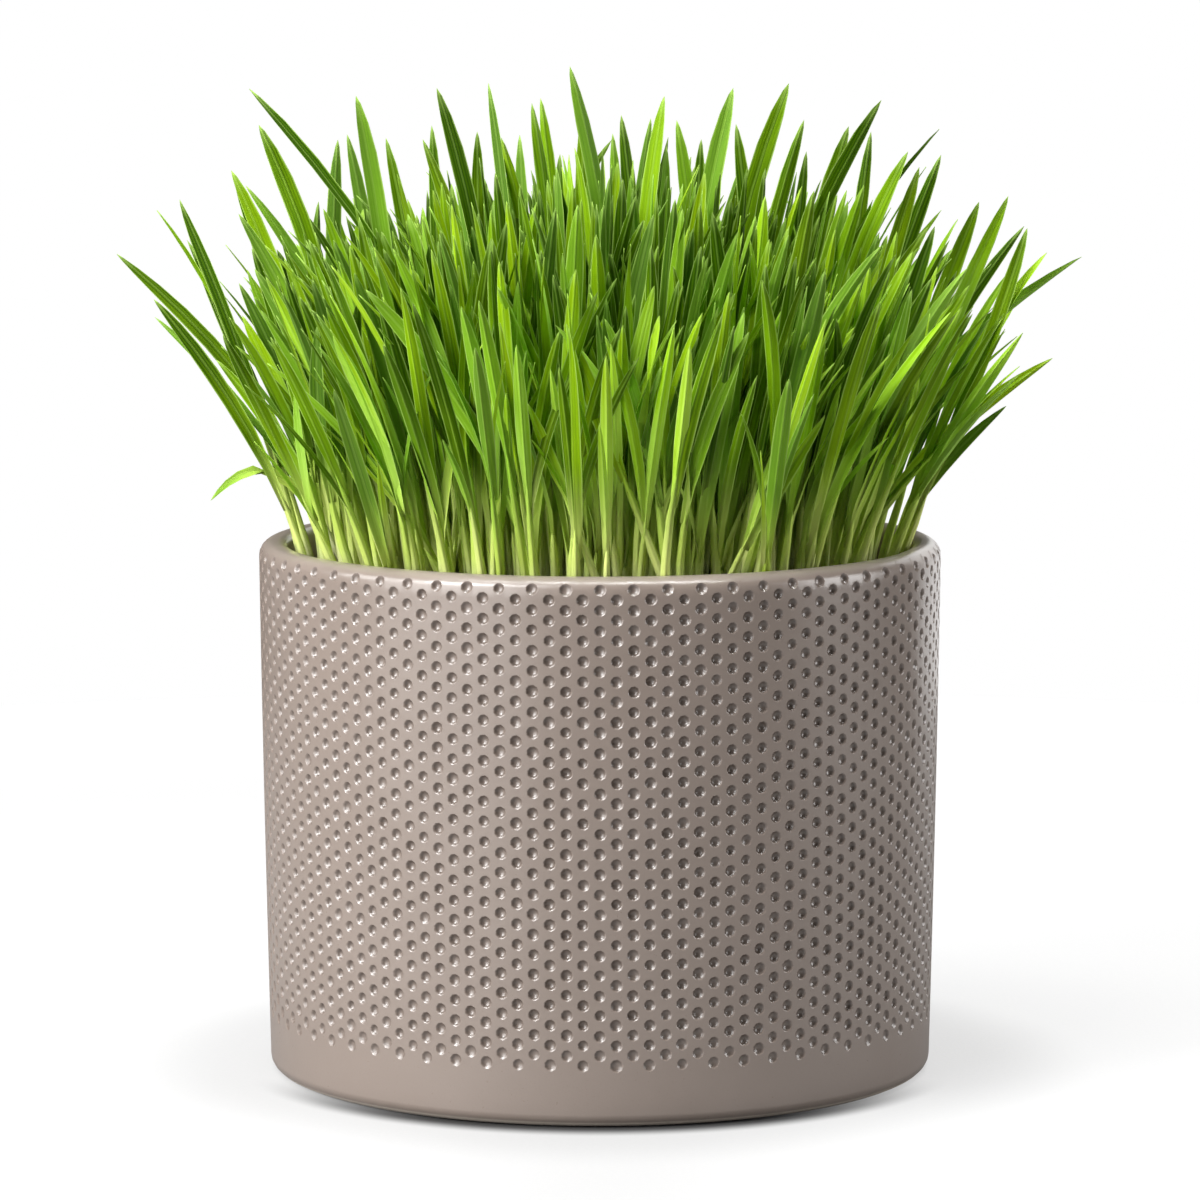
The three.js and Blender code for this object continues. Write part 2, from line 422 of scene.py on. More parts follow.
def add_floor():
    """A pale disc: rings of points at growing distances, faced upwards, with its rim turned down."""
    distances = np.array([0.001, 60, 90, 130, 200, 320, 640, 645])
    heights = np.array([0, 0, 0, 0, 0, 0, 0, -5]) - 0.02
    angle = TURN * np.arange(96) / 96
    points = distances[:, None, None] * level_way(angle)
    points[..., 2] = heights[:, None]
    points = points.reshape(-1, 3)
    faces = [face[::-1] for face in tube_faces(1, len(distances), len(angle))]
    mesh = bpy.data.meshes.new("floor")
    mesh.from_pydata((points * MM).tolist(), [], faces)
    mesh.shade_smooth()
    mesh.materials.append(floor_finish())
    floor = bpy.data.objects.new("floor", mesh)
    bpy.context.collection.objects.link(floor)


def floor_finish():
    """Matt white paper that glows a little for the camera, and more away from the pot.

    It is dark in the narrow gap under the pot's front edge, which is a painted contact shadow, and the glow
    is weaker near the pot as painted shade. apart is the square of the distance from the middle, in square
    metres.
    """
    nodes = new_material("white paper floor")
    place = nodes.place()
    grain = nodes.noise(place, 900.0, detail=4.0)
    x, y = nodes.split(place)[:2]
    apart = x * x + y * y
    # painted contact shadow: darker paper and no glow in the gap under the pot's front edge
    painted_contact_shadow = (1 - apart.rise(0.0061, 0.0075)) * (0 - y).rise(0.02, 0.07)
    # painted shade: the glow grows away from the pot and towards its sides
    glow = 0.44 + apart.rise(0.0077, 0.0144) * 0.12 + x.size().rise(0.0, 0.08) * 0.1
    glow = glow + apart.rise(0.16, 0.34) * 0.13
    seen = nodes.add("ShaderNodeLightPath", None, None, output="Is Camera Ray")
    paper = nodes.mix(grain, (0.19, 0.19, 0.19, 1), (0.22, 0.22, 0.22, 1))
    colour = nodes.mix(painted_contact_shadow * 0.92, paper, (0.01, 0.01, 0.01, 1))
    shine = nodes.mix(seen * glow * (1 - painted_contact_shadow), (0, 0, 0, 1), (1, 1, 1, 1))
    others = {"Emission Color": shine, "Emission Strength": 1.0}
    return nodes.finish(nodes.coat(colour, 0.8, nodes.bump(grain, 0.0002, 0.3), others))


# ---- Pot ----


def arc(middle_radius, middle_height, radius, start, end):
    """Points on an arc about a middle, from one angle to another in degrees."""
    angle = np.radians(np.linspace(start, end, 17))
    middle = np.array([middle_radius, middle_height])
    return middle + radius * together(np.cos(angle), np.sin(angle))


def wall_radius(height):
    """The wall's radius: a straight taper from foot to rim, plus 4 wall_bow share (1 - share)."""
    share = height / pot_height
    return foot_radius + (rim_radius - foot_radius) * share + 4 * wall_bow * share * (1 - share)


class Profile:
    """The pot's outline, from the middle of its foot up the wall, over the lip and down to the inner floor.

    A place on it is given by its run: the distance along the outline, which on the wall is the height.
    """

    def __init__(self):
        lip_start = pot_height - lip_outer_fillet
        foot_arc = arc(wall_radius(foot_fillet) - foot_fillet, foot_fillet, foot_fillet, -90, 0)
        climb = np.linspace(foot_fillet, lip_start, 40)[1:-1]
        lip_arc = arc(wall_radius(lip_start) - lip_outer_fillet, lip_start, lip_outer_fillet, 0, 90)
        inner_lip = arc(
            inner_rim_radius + lip_inner_fillet, pot_height - lip_inner_fillet, lip_inner_fillet, 90, 180
        )
        inner_foot = arc(
            inner_foot_radius - inner_foot_fillet,
            floor_thickness + inner_foot_fillet,
            inner_foot_fillet,
            0,
            -90,
        )
        inner_wall = inner_lip[-1] + np.linspace(0, 1, 20)[1:-1, None] * (inner_foot[0] - inner_lip[-1])
        base = foot_arc[0] * np.linspace(0, 1, 30)[:-1, None]
        floor = inner_foot[-1] + np.linspace(0, 1, 30)[1:, None] * ([0, floor_thickness] - inner_foot[-1])
        wall = together(wall_radius(climb), climb)
        points = np.concatenate([base, foot_arc, wall, lip_arc, inner_lip, inner_wall, inner_foot, floor])
        steps = np.diff(points, axis=0)
        lengths = np.hypot(*steps.T)
        run = np.concatenate([[0], np.cumsum(lengths)])
        wall_start = len(base) + len(foot_arc) - 1
        run += foot_fillet - run[wall_start]
        self.points = points
        self.run = run
        self.step_run = (run[1:] + run[:-1]) / 2
        self.step_heading = np.unwrap(np.arctan2(steps[:, 1], steps[:, 0]))

    def surface(self, angle, run, sunk=0.0, tilt=0.0, towards=0.0):
        """Points and normals of the turned outline, pushed in by sunk along the normal.

        The normal leans by tilt away from the way that towards gives, an angle in the surface.
        """
        angle, run, sunk, tilt, towards = np.broadcast_arrays(angle, run, sunk, tilt, towards)
        radius = np.interp(run, self.run, self.points[:, 0])
        height = np.interp(run, self.run, self.points[:, 1])
        heading = np.interp(run, self.step_run, self.step_heading)
        outwards = level_way(angle)
        upwards = np.array([0, 0, 1.0])
        round_it = turned_way(angle)
        along = np.cos(heading)[..., None] * outwards + np.sin(heading)[..., None] * upwards
        normal = np.sin(heading)[..., None] * outwards - np.cos(heading)[..., None] * upwards
        points = radius[..., None] * outwards + height[..., None] * upwards - sunk[..., None] * normal
        lean = np.cos(towards)[..., None] * round_it + np.sin(towards)[..., None] * along
        return points, np.cos(tilt)[..., None] * normal - np.sin(tilt)[..., None] * lean


def annulus(outer, inner):
    """Triangles between two rings of points, anticlockwise, going round both in step with their angles."""
    outer_sides, inner_sides = outer.shape[-1], inner.shape[-1]
    triangles = []
    out, into = 0, 0
    while out < outer_sides or into < inner_sides:
        corners = [outer[..., out % outer_sides]]
        if (out + 0.5) / outer_sides < (into + 0.5) / inner_sides:
            out += 1
            corners += [outer[..., out % outer_sides], inner[..., into % inner_sides]]
        else:
            into += 1
            corners += [inner[..., into % inner_sides], inner[..., into - 1]]
        triangles.append(together(*corners).reshape(-1, 3))
    return np.concatenate(triangles)


def add_pot():
    """The glazed pot. Its wall is a honeycomb of six-sided cells, each with a cup pressed into its middle.

    A cup has a mouth ring, a shoulder ring where its side is steepest, and a flat bottom with six corners.
    Below and above the cells, rings of points carry on the outline.
    """
    random = np.random.default_rng(5)
    profile = Profile()
    step = TURN / dimple_columns
    column_width = step * rim_radius
    corner_shift = (column_width**2 - dimple_pitch**2 / 4) / (2 * column_width**2)
    column = np.arange(dimple_columns)
    row = np.arange(dimple_rows)
    odd = column % 2
    first = lowest_dimple + odd * dimple_pitch / 2
    points, normals, dimple_pool_and_shade = [], [], []

    def gather(places, ways, pool_and_shade_share=0.0):
        """Adds points and their normals to the lists, and returns their numbers in the same layout."""
        already = sum(len(part) for part in dimple_pool_and_shade)
        points.append(places.reshape(-1, 3))
        normals.append(ways.reshape(-1, 3))
        dimple_pool_and_shade.append(np.full(len(points[-1]), pool_and_shade_share))
        return already + np.arange(len(points[-1])).reshape(places.shape[:-1])

    # Corners: two to a column on each level, half a pitch above and below the middles of its cells.
    level = np.arange(dimple_rows + 1)
    side = np.array([-1, 1])
    corner_angle = (column[:, None, None] + side * corner_shift) * step + 0 * level[:, None]
    corner_run = first[:, None, None] + (level[:, None] - 0.5) * dimple_pitch + 0 * side
    corner = gather(*profile.surface(corner_angle, corner_run))

    # Cups: three rings of points each, none of them quite alike in size, depth and place.
    shape = (dimple_columns, dimple_rows, 1)
    size = dimple_radius * (1 + radius_spread * random.standard_normal(shape))
    depth = dimple_depth * (1 + depth_spread * random.standard_normal(shape))
    depth[:, :2, 0] *= lowest_rows_depth
    drift = place_spread * random.standard_normal((2, *shape))
    middle_angle = (column[:, None, None] * column_width + drift[0]) / column_width * step
    middle_run = first[:, None, None] + row[:, None] * dimple_pitch + drift[1]
    rings = []
    for reach, sunk, lean, sides, pool_and_shade_share in (mouth_ring, shoulder_ring, bottom_ring):
        around = TURN * np.arange(sides) / sides
        surface = profile.surface(
            middle_angle + reach * size * np.cos(around) / column_width * step,
            middle_run + reach * size * np.sin(around),
            sunk * depth,
            math.radians(lean) * depth / dimple_depth,
            around,
        )
        rings.append(gather(*surface, pool_and_shade_share))
    mouth, shoulder, bottom = rings

    # Six corners round each cell, anticlockwise from outside, starting on the right.
    across = level[row][None, :] + odd[:, None]
    nearby = (column + 1) % dimple_columns
    before = (column - 1) % dimple_columns
    hexagon = together(
        corner[nearby[:, None], across, 0],
        corner[:, 1:, 1],
        corner[:, 1:, 0],
        corner[before[:, None], across, 1],
        corner[:, :-1, 0],
        corner[:, :-1, 1],
    )
    triangles = [annulus(mouth, shoulder), annulus(hexagon, mouth), annulus(shoulder, bottom)]

    # Rings below the cells and above them, at these runs, and a middle point at either end.
    edge_angle = corner_angle[:, 0].ravel()
    cells_end = corner_run.max()
    runs_below = np.array([profile.run[0] + 30, *np.linspace(-1.9, 3, 6), 6, 9.5])
    runs_above = cells_end + np.array([0.3, 0.8, 1.3, 1.8, 2.4, 3.2, 5, 6, 7, 8, 10, 24, 112])
    runs_above = np.append(runs_above, profile.run[-1] - np.array([76, 71, 66, 30]))
    below = gather(*profile.surface(edge_angle, runs_below[:, None]))
    above = gather(*profile.surface(edge_angle, runs_above[:, None]))
    centres = gather(np.array([[0, 0, 0], [0, 0, floor_thickness]]), np.array([[0, 0, -1], [0, 0, 1]]))
    quads = []
    for stack in (np.vstack([below, corner[:, 0].ravel()]), np.vstack([corner[:, -1].ravel(), above])):
        after = np.roll(stack, -1, axis=1)
        quads.append(together(stack[:-1], after[:-1], after[1:], stack[1:]).reshape(-1, 4))
    triangles.append(together(centres[0], np.roll(below[0], -1), below[0]))
    triangles.append(together(above[-1], np.roll(above[-1], -1), centres[1]))
    triangles = np.concatenate(triangles)
    quads = np.concatenate(quads)
    bottoms = bottom.reshape(-1, bottom.shape[-1])
    faces = triangles.tolist() + quads.tolist() + bottoms.tolist()

    # The mouth is a sharp edge: its points have another normal for the triangles inside it.
    normals = np.concatenate(normals)
    inside = normals.copy()
    around = TURN * np.arange(mouth_ring[3]) / mouth_ring[3]
    inside[mouth.ravel()] = profile.surface(
        middle_angle, middle_run + 0 * around, 0.0, math.radians(mouth_inner_lean), around
    )[1].reshape(-1, 3)
    corners = np.concatenate([triangles.ravel(), quads.ravel(), bottoms.ravel()])
    normals = normals[corners]
    flank = 3 * len(annulus(mouth, shoulder))
    normals[:flank] = inside[corners[:flank]]
    # Each point carries how much the glaze is darkened there: pooling glaze and painted shade in the
    # dimples.
    add_piece(
        "dimpled_pot",
        np.concatenate(points),
        faces,
        glaze_finish(),
        ["pot"],
        normals,
        {"dimple_pool_and_shade": np.concatenate(dimple_pool_and_shade)},
    )


def glaze_finish():
    """Satin taupe glaze: cloudy, finely speckled, darker in the dimples and lighter round the lip, and left
    off the foot. The dimples are darkened by pooling glaze and painted shade, the lip by a painted
    highlight.
    """
    nodes = new_material("satin taupe glaze")
    place = nodes.place()
    z = nodes.split(place)[2]
    dimple_pool_and_shade = nodes.attribute("dimple_pool_and_shade", "Fac")
    cloud = nodes.noise(place, 38.0, detail=3.0)
    speckle = nodes.noise(place, 2600.0, detail=2.0, roughness=0.7).rise(0.60, 0.74)
    grain = nodes.noise(place, 1400.0, detail=3.0, roughness=0.6)
    glaze = nodes.mix(cloud, (0.255, 0.203, 0.172, 1), (0.290, 0.235, 0.203, 1))
    glaze = nodes.mix(speckle * 0.22, glaze, (0.15, 0.11, 0.09, 1))
    # painted shade in the dimples, partly real pooling of the glaze
    glaze = nodes.mix(dimple_pool_and_shade * 0.8, glaze, (0.08, 0.058, 0.045, 1))
    # painted highlight: the glaze is lighter round the top of the lip
    glaze = nodes.mix(z.rise(0.1225, 0.1243) * 0.3, glaze, (0.48, 0.41, 0.37, 1))
    bare = 1 - z.rise(0.0009, 0.0014)
    colour = nodes.mix(bare, glaze, (0.60, 0.52, 0.44, 1))
    roughness = 0.26 + grain * 0.05 + bare * 0.5
    relief = nodes.bump(cloud * 1.5 + grain * 0.10, 0.0004, 0.5)
    return nodes.finish(nodes.coat(colour, roughness, relief, {"Specular IOR Level": 1.0}))


# ---- Potting mix ----


def lumps(x, y, size, random):
    """A sum of cosine waves of the given size in random headings, between about -1 and 1."""
    waves = 9
    heading = random.uniform(0, TURN, waves)
    start = random.uniform(0, TURN, waves)
    length = size * random.uniform(0.7, 1.5, waves)
    along = x[..., None] * np.cos(heading) + y[..., None] * np.sin(heading)
    return np.cos(TURN * along / length + start).sum(axis=-1) / waves**0.5


def add_potting_mix():
    """A closed plug that fills the pot, a profile turned and then raised by lumps, with crumbs on top."""
    random = np.random.default_rng(8)
    low = soil_low[2] / MM
    side_radius = inner_foot_radius - 0.4
    turned = [(0.001, low), (side_radius - 7, low), (side_radius - 2, low + 2), (side_radius, low + 7)]
    turned += [(soil_radius - 0.05, soil_top - 4), (soil_radius - 0.1, soil_top - 1)]
    side_points = len(turned)
    turned += [(radius, soil_top - 0.8) for radius in np.linspace(soil_radius - 1, 0.3, 48)]
    radius, height = np.array(turned).T
    angle = TURN * np.arange(180) / 180
    x = radius[:, None] * np.cos(angle)
    y = radius[:, None] * np.sin(angle)
    raised = 0.45 * lumps(x, y, 9.0, random) + 0.3 * lumps(x, y, 3.4, random)
    z = height[:, None] + raised * (np.arange(len(radius)) >= side_points)[:, None]
    z = np.minimum(z, soil_top + 0.6)
    points = together(x, y, z).reshape(-1, 3)
    faces = tube_faces(1, len(radius), len(angle))
    add_piece("potting_mix_top", points, faces, soil_finish(), ["potting_mix"])

    count = crumb_count
    distance = (soil_radius - 2.5) * np.sqrt(random.uniform(0, 1, count))
    around = random.uniform(0, TURN, count)
    size = random.uniform(*crumb_size, count)
    places = together(distance * np.cos(around), distance * np.sin(around), soil_top - 0.6 + 0.3 * size)
    rings = pebbles(
        places,
        random.uniform(0, TURN, count),
        random.uniform(-0.4, 0.4, count),
        size * random.uniform(0.9, 1.5, count),
        size * random.uniform(0.6, 1.0, count),
        size * random.uniform(0.5, 0.8, count),
        stations=5,
        sides=5,
    )
    rings += 0.16 * random.standard_normal(rings.shape) * size[:, None, None, None]
    white = random.uniform(0, 1, count) < perlite_share
    add_piece(
        "crumbs",
        rings.reshape(-1, 3),
        tube_faces(count, *rings.shape[1:3]),
        crumb_finish(),
        numbers={"perlite": np.repeat(white.astype(float), rings[0, ..., 0].size)},
        crease=40,
    )


def soil_finish():
    """Dark peaty mix, mottled brown, rough all over."""
    nodes = new_material("peaty potting mix")
    place = nodes.place()
    clods = nodes.noise(place, 260.0, detail=6.0, roughness=0.7)
    fibre = nodes.noise(place, 1500.0, detail=3.0, roughness=0.7)
    colour = nodes.mix(clods, (0.012, 0.008, 0.005, 1), (0.075, 0.045, 0.024, 1))
    colour = nodes.mix(fibre.rise(0.58, 0.72) * 0.6, colour, (0.16, 0.10, 0.05, 1))
    relief = nodes.bump(clods + fibre * 0.4, 0.0012, 0.9)
    return nodes.finish(nodes.coat(colour, 0.82 + fibre * 0.15, relief))


def crumb_finish():
    """Bark and peat crumbs with some white perlite among them."""
    nodes = new_material("crumbs and perlite")
    place = nodes.place()
    grain = nodes.noise(place, 900.0, detail=4.0, roughness=0.65)
    perlite = nodes.attribute("perlite", "Fac")
    bark = nodes.mix(grain, (0.02, 0.012, 0.007, 1), (0.13, 0.075, 0.036, 1))
    white = nodes.mix(grain, (0.45, 0.42, 0.36, 1), (0.75, 0.72, 0.66, 1))
    colour = nodes.mix(perlite, bark, white)
    return nodes.finish(nodes.coat(colour, 0.75 + grain * 0.2, nodes.bump(grain, 0.0004, 0.8)))


# ---- Grass ----

# Leaves set one by one, in millimetres: foot x, foot y, tip x, tip height, how far the middle stands right
# of the straight line between them, and half-width. In y the tip is a little further out than the foot.
left_leaves = [
    (-64, -8, -112, 192, 13, 1.9),
    (-66, -14, -103, 182, 6, 1.8),
    (-68, 0, -98, 204, 3, 1.9),
    (-66, 10, -96, 192, 2, 1.7),
    (-63, 14, -87, 210, 6, 2.2),
    (-57, 20, -84, 206, 13, 1.8),
    (-61, 8, -80, 221, 9, 2.4),
    (-63, -18, -80, 194, 3, 1.9),
    (-58, -4, -84, 201, 8, 1.9),
    (-57, 24, -67, 202, -4, 1.7),
    (-58, 18, -62, 217, -3, 1.9),
    (-51, 22, -60, 218, 4, 1.8),
]
skyline_leaves = [
    (-48, 4, -57, 228, 4, 2.3),
    (-45, 26, -51, 217, 5, 1.7),
    (-28, 20, -42, 217, 8, 1.9),
    (-27, 0, -38, 230, 7, 2.3),
    (-38, 24, -40, 220, 1, 1.8),
    (-28, 16, -29, 219, 0, 1.9),
    (-22, 2, -26, 231, 4, 1.6),
    (-17, 20, -19, 218, 1, 1.9),
    (-11, 10, -16, 226, 4, 1.9),
    (-10, 14, -14, 227, 3, 1.7),
    (0, 0, -7, 235, 7, 2.3),
    (-5, 18, -4, 224, 0, 1.8),
    (5, 26, 3, 218, 1, 1.7),
    (8, 14, 5, 223, 3, 1.9),
    (9, 18, 12, 222, -4, 1.8),
    (10, 2, 15, 228, -4, 2.2),
    (21, 10, 18, 222, 4, 2.0),
    (21, 20, 24, 217, -1, 1.8),
    (23, 0, 31, 230, -6, 2.4),
    (32, 12, 32, 221, 4, 1.9),
    (31, 2, 44, 231, -9, 2.4),
    (37, 12, 48, 222, -7, 1.9),
    (43, 22, 49, 214, -2, 1.8),
    (44, 2, 58, 221, -6, 2.3),
]
right_leaves = [
    (56, 16, 64, 219, -2, 1.7),
    (51, 4, 72, 215, -9, 2.1),
    (55, -6, 74, 212, -4, 2.2),
    (56, 8, 80, 214, -5, 2.0),
    (57, -16, 77, 199, -3, 2.0),
    (61, 8, 89, 203, -3, 2.3),
    (61, -2, 95, 205, -3, 2.1),
    (64, 12, 100, 197, -9, 1.6),
    (62, -8, 99, 198, 3, 1.9),
    (58, -24, 84, 190, -9, 1.9),
    (54, -4, 112, 191, -17, 2.1),
    (57, -10, 105, 168, -11, 1.9),
    (66, -2, 95, 156, -7, 1.6),
]
front_leaves = [
    (-14, -58, -52, 188, 9, 2.2),
    (-43, -44, -54, 185, -6, 2.0),
    (-53, -35, -64, 178, -4, 1.9),
    (-32, -42, -75, 170, 6, 1.8),
    (-32, -56, -49, 184, 1, 2.1),
    (-28, -56, -46, 197, 6, 1.9),
    (-32, -40, -36, 200, 4, 2.3),
    (-36, -44, -21, 202, 0, 2.0),
    (-4, -52, -22, 186, 5, 2.1),
    (4, -62, -16, 163, 0, 1.8),
    (-11, -44, -14, 195, 3, 2.4),
    (5, -60, -9, 189, 2, 2.0),
    (-10, -46, -5, 206, 0, 2.3),
    (19, -63, -7, 179, 0, 2.4),
    (0, -48, 12, 204, -3, 2.1),
    (0, -60, 12, 189, -2, 2.0),
    (15, -63, 1, 182, 4, 1.9),
    (14, -62, 13, 174, 1, 2.0),
    (16, -56, 30, 187, -7, 2.1),
    (18, -62, 33, 179, -5, 1.9),
    (20, -58, 32, 183, -1, 2.0),
    (30, -50, 37, 193, 1, 2.0),
    (20, -46, 31, 200, -4, 2.1),
    (29, -56, 50, 192, 1, 2.4),
    (24, -58, 50, 160, -2, 1.9),
    (40, -48, 63, 197, -11, 2.0),
    (39, -44, 48, 209, -3, 2.2),
    (50, -42, 69, 167, -11, 1.8),
    (53, -32, 82, 177, -1, 2.0),
]
# Leaves that reach furthest to the front and back: foot x, foot y, tip x, tip y, tip height, half-width.
reaching_leaves = [
    (-21, -61, -27, -107, 178, 2.0),
    (36, -53, 41, -104, 171, 1.9),
    (-44, -49, -58, -96, 168, 1.9),
    (12, 62, 15, 107, 189, 2.1),
    (-30, 57, -36, 105, 180, 2.0),
    (47, 48, 60, 96, 186, 2.0),
]
# A leaf that arches over: foot x, foot y, tip x, tip height, rise of its middle over the line, half-width.
arching_leaf = (-56, -4, -91, 134, 17, 1.4)


def hand_set_leaves():
    """Feet, tips, bows and half-widths of the leaves that are set one by one."""
    rows = []
    for x, y, end, top, shift, wide in left_leaves + skyline_leaves + right_leaves + front_leaves:
        rows.append((x, y, end, y * outwards_with_distance, top, shift, 0, wide))
    for x, y, end, out, top, wide in reaching_leaves:
        rows.append((x, y, end, out, top, 0, 0, wide))
    x, y, end, top, lift, wide = arching_leaf
    rows.append((x, y, end, y * outwards_with_distance, top, 0, lift, wide))
    foot_x, foot_y, tip_x, tip_y, tip_z, shift, lift, half_width = np.array(rows).T
    foot = together(foot_x, foot_y, soil_top)
    tip = together(tip_x, tip_y, tip_z)
    bow = together(shift, backward_bow * (tip_y - foot_y), lift)
    return foot, tip, bow, half_width


def common_leaves(taken, random):
    """Feet on a jittered honeycomb that keeps off the feet already taken, and the leaves that grow there.

    The height falls with the square of the distance from the middle, and the lean outwards grows with it.
    """
    count = int(2 * stand_radius / seedling_spacing) + 2
    column, row = np.meshgrid(np.arange(-count, count), np.arange(-count, count))
    x = (column + 0.5 * (row % 2)).ravel() * seedling_spacing
    y = row.ravel() * seedling_spacing * row_spacing
    x = x + random.uniform(-seedling_jitter, seedling_jitter, x.size)
    y = y + random.uniform(-seedling_jitter, seedling_jitter, y.size)
    gap = np.hypot(x[:, None] - taken[:, 0], y[:, None] - taken[:, 1]).min(axis=1)
    kept = (np.hypot(x, y) < stand_radius) & (gap > closest_feet)
    x, y = x[kept], y[kept]
    number = x.size
    distance = np.hypot(x, y) / stand_radius
    wander = random.normal(0, 1, number) * (heading_spread - heading_settling * distance)
    heading = np.arctan2(y, x) + wander
    reach = middle_reach + (edge_reach - middle_reach) * distance**reach_growth
    reach = reach * random.uniform(*reach_range, number)
    height = middle_height * (1 - edge_drop * distance**2) * random.uniform(*height_range, number)
    foot = together(x, y, soil_top)
    lean = level_way(heading) * reach[:, None]
    tip = foot + lean
    keep_within(tip, widest_tip)
    tip[:, 2] += height
    bow = common_bow * lean + random.normal(0, bow_spread, (number, 3)) * [1, 1, 0]
    return foot, tip, bow, random.uniform(*half_width_range, number)


def side_leaves(foot, tip, bow, start, half_width, random):
    """A leaf that leaves each line at its start share, leaning more than the line does and ending lower.

    A side leaf under about 54 mm high is narrower than a longer one.
    """
    number = len(foot)
    base = line_at(foot, tip, bow, start)
    heading = np.arctan2(foot[:, 1], foot[:, 0]) + random.normal(0, side_heading_spread, number)
    lean = random.uniform(*side_lean, number)
    room = tip[:, 2] - base[:, 2]
    short = random.uniform(0, 1, number) < short_side_leaves
    short_share = random.uniform(*short_side_height, number)
    height = room * np.where(short, short_share, random.uniform(*side_height, number))
    reach = height * np.tan(lean)
    way = level_way(heading) * reach[:, None]
    drift = side_drift * (tip - base) * [1, 1, 0] * (height / room)[:, None]
    end = base + way + drift + np.array([0, 0, 1.0]) * height[:, None]
    keep_within(end, widest_tip)
    width = half_width * random.uniform(*side_width, number) * np.clip(0.4 + height / 90, 0.5, 1)
    return base, end, side_backward_bow * way, width, heading


def line_at(foot, tip, bow, share):
    """The bowed line: foot + share (tip - foot) + 4 share (1 - share) bow."""
    share = np.asarray(share)[..., None]
    return foot + share * (tip - foot) + 4 * share * (1 - share) * bow


def way_at(foot, tip, bow, share):
    """The bowed line's direction: its slope by share, at length 1."""
    share = np.asarray(share)[..., None]
    return unit((tip - foot) + 4 * (1 - 2 * share) * bow)


def blade_rings(foot, tip, bow, facing, twist, half_width, flat_fold, start, base_height, stations=10):
    """Leaves with a folded, pointed blade along the bowed line from a start share to the tip.

    The half-width is the full one times 0.42 + 0.58 smooth(distance from the base / opening length), and
    near the tip times sin(90 deg (distance from the tip / pointed length)^0.68). The edges are folded up by
    a part of the half-width that falls from flat_fold + 1 at the base to flat_fold. The blade is thinner
    towards its tip, and its rings stand closer there. A ring is an edge, the upper middle, the other edge
    and the lower middle.
    """
    up_blade = 1 - (1 - np.linspace(0, 1, stations)) ** 1.8
    share = start[:, None] + (1 - start[:, None]) * up_blade
    middle = line_at(foot[:, None], tip[:, None], bow[:, None], share)
    along = way_at(foot[:, None], tip[:, None], bow[:, None], share)
    turn = facing[:, None] + twist[:, None] * up_blade
    across = level_way(turn)
    across = unit(across - (across * along).sum(axis=-1, keepdims=True) * along)
    raised = np.cross(along, across)
    length = np.linalg.norm(tip - foot, axis=-1)
    blade = ((1 - start) * length)[:, None]
    opened = np.clip(up_blade * blade / np.minimum(opening_length, 0.45 * blade), 0, 1)
    opened = opened**2 * (3 - 2 * opened)
    pointed = np.clip((1 - up_blade) * blade / np.minimum(pointed_length, 0.5 * blade), 0, 1)
    pointed = np.maximum(np.sin(0.25 * TURN * pointed**0.68), thinnest_tip)
    wide = half_width[:, None] * (0.42 + 0.58 * opened) * pointed
    fold = flat_fold[:, None] + 1 - opened
    thick = 0.5 * leaf_thickness * (1 - up_blade**3 * 0.4)
    sideways = np.array([1.0, 0, -1.0, 0])
    edges = np.array([1.0, 0, 1.0, 0])
    faces = np.array([0, 1.0, 0, -1.0])
    up = (wide * fold)[..., None] * edges + thick[:, None] * faces
    points = (
        middle[:, :, None]
        + (wide[..., None] * sideways)[..., None] * across[:, :, None]
        + up[..., None] * raised[:, :, None]
    )
    grown = base_height[:, None] + share * length[:, None]
    mark = together(wide[..., None] * sideways, grown[..., None], sideways)
    return points, mark, up_blade


def stem_rings(foot, tip, bow, end, radius):
    """Stems: a round tube along the bowed line from its foot to the share where the leaf opens out."""
    stations = 5
    sides = 6
    share = end[:, None] * np.linspace(0, 1, stations)
    middle = line_at(foot[:, None], tip[:, None], bow[:, None], share)
    along = way_at(foot[:, None], tip[:, None], bow[:, None], share)
    across = unit(np.cross(along, [0.0, 1.0, 0.0]))
    taper = np.interp(np.linspace(0, 1, stations), [0, 0.1, 0.7, 1], [1.25, 1.1, 0.95, 0.12])
    wide = radius[:, None] * taper
    points = rings_round(middle, across, along, wide, wide, sides)
    length = np.linalg.norm(tip - foot, axis=-1)
    grown = share * length[:, None]
    angle = TURN * np.arange(sides) / sides
    mark = together(wide[..., None] * np.cos(angle), grown[..., None], np.cos(angle))
    return points, mark, np.full(stations, -1.0)


def tuft_places():
    """The names of the tuft solids and the middles of their mats. The outer ring is turned half a step."""
    names = []
    middles = []
    for ring, (count, radius) in enumerate(tuft_rings, start=1):
        half_step = 0.5 if ring == len(tuft_rings) else 0.0
        for place in range(count):
            angle = TURN * (place + half_step) / count
            names.append(f"ring{ring}_{place + 1:02d}")
            middles.append((radius * math.cos(angle), radius * math.sin(angle)))
    return names, np.array(middles)


